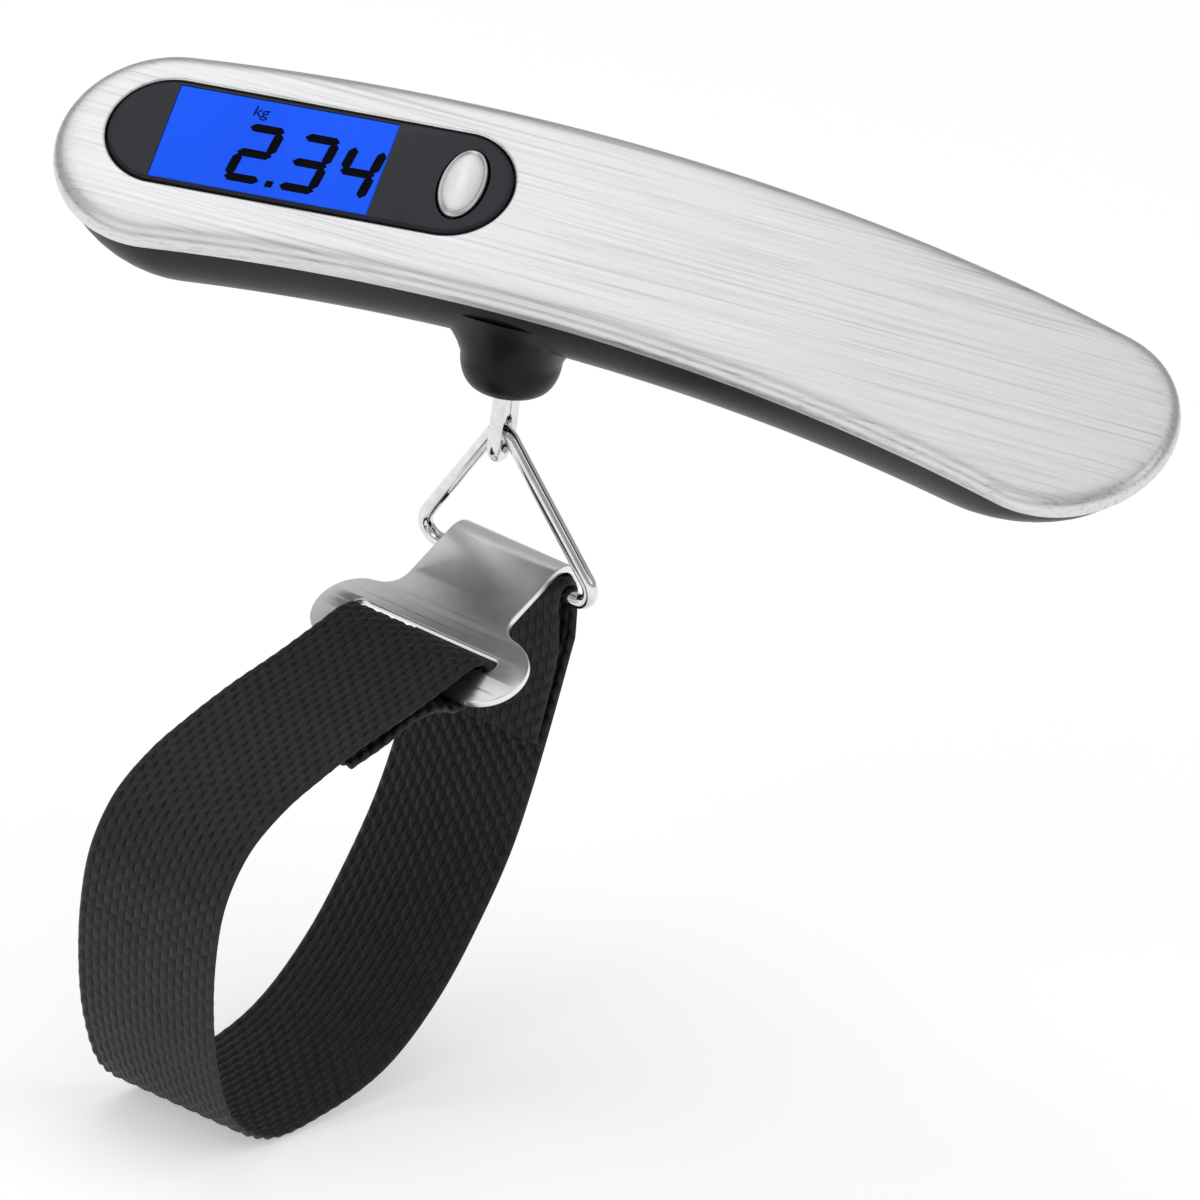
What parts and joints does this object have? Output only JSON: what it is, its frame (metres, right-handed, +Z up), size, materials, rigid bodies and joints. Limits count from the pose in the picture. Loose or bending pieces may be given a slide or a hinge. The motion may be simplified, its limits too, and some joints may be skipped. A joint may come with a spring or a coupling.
{
  "type": "digital luggage scale",
  "caption": "Arched handle with a lit display and button, a chrome ring hanging from a wire eye, and a webbing loop closed by a slotted hook plate.",
  "frame": {"origin": "where the load axis meets the top of the handle's steel plate", "axes": "+X along the handle away from the display end, -Y towards the front, +Z up against the load"},
  "size_m": [0.1717, 0.0875, 0.1354],
  "materials": {
    "brushed_plate": "brushed along the handle",
    "black_abs": "satin moulded",
    "window": "polished dark lens",
    "white_abs": "plain",
    "grey_rubber": "matt",
    "board": "solder mask",
    "cell_steel": "satin",
    "brass_contact": "plain",
    "red_wire": "insulation",
    "black_wire": "insulation",
    "alloy": "machined",
    "screw_steel": "plated",
    "silver_button": "satin silver",
    "chrome_wire": "bright chrome",
    "polished_plate": "polished",
    "webbing": "coarse woven",
    "lcd": "backlit blue display"
  },
  "bodies": {
    "handle": {"front_plate": "brushed_plate", "upper_frame": "black_abs", "lower_housing": "black_abs", "display_window": "window", "lcd_holder": "white_abs", "lcd_glass": "lcd", "backlight_panel": "white_abs", "backlight_led": "white_abs", "zebra_strip": "grey_rubber", "main_pcb": "board", "tact_switch": "black_abs", "chip_blob": "black_abs", "capacitor": "board", "coin_cell": "cell_steel", "battery_holder": "black_abs", "contact_positive": "brass_contact", "contact_negative": "brass_contact", "housing_screw_1": "screw_steel", "housing_screw_2": "screw_steel", "housing_screw_3": "screw_steel", "housing_screw_4": "screw_steel", "battery_wire_red": "red_wire", "battery_wire_black": "black_wire", "load_cell": "alloy", "strain_gauge_1": "brass_contact", "strain_gauge_2": "brass_contact", "load_cell_base": "alloy", "load_cell_screw_1": "screw_steel", "load_cell_screw_2": "screw_steel", "eye_pin": "screw_steel"},
    "button": {"button_cap": "silver_button"},
    "door": {"battery_door": "black_abs"},
    "eye": {"eye_link": "chrome_wire"},
    "ring": {"ring": "chrome_wire"},
    "strap": {"strap_band": "webbing"},
    "hook": {"hook_plate": "polished_plate", "strap_hook_end": "webbing"}
  },
  "joints": [
    {"name": "button_press", "type": "slide", "parent": "handle", "child": "button", "axis": [0, 0.524, -0.8517], "range_m": [0, 0.0006], "stiffness_N_per_m": 400},
    {"name": "door_lift", "type": "slide", "parent": "handle", "child": "door", "axis": [0, 0.524, -0.8517], "range_m": [0, 0.012]},
    {"name": "eye_turn", "type": "hinge", "parent": "handle", "child": "eye", "pos_m": [0, 0, -0.0128], "axis": [0, 0, 1], "range_deg": [-12, 12]},
    {"name": "ring_swing", "type": "hinge", "parent": "eye", "child": "ring", "pos_m": [0, 0, -0.035], "axis": [0.9563, -0.2924, 0], "range_deg": [-20, 35]},
    {"name": "strap_swing", "type": "hinge", "parent": "ring", "child": "strap", "pos_m": [0.00156, 0.0051, -0.05809], "axis": [0.9563, -0.2924, 0], "range_deg": [-40, 30]},
    {"name": "hook_release", "type": "slide", "parent": "strap", "child": "hook", "axis": [0.2557, 0.8364, 0.4848], "range_m": [0, 0.007]}
  ]
}
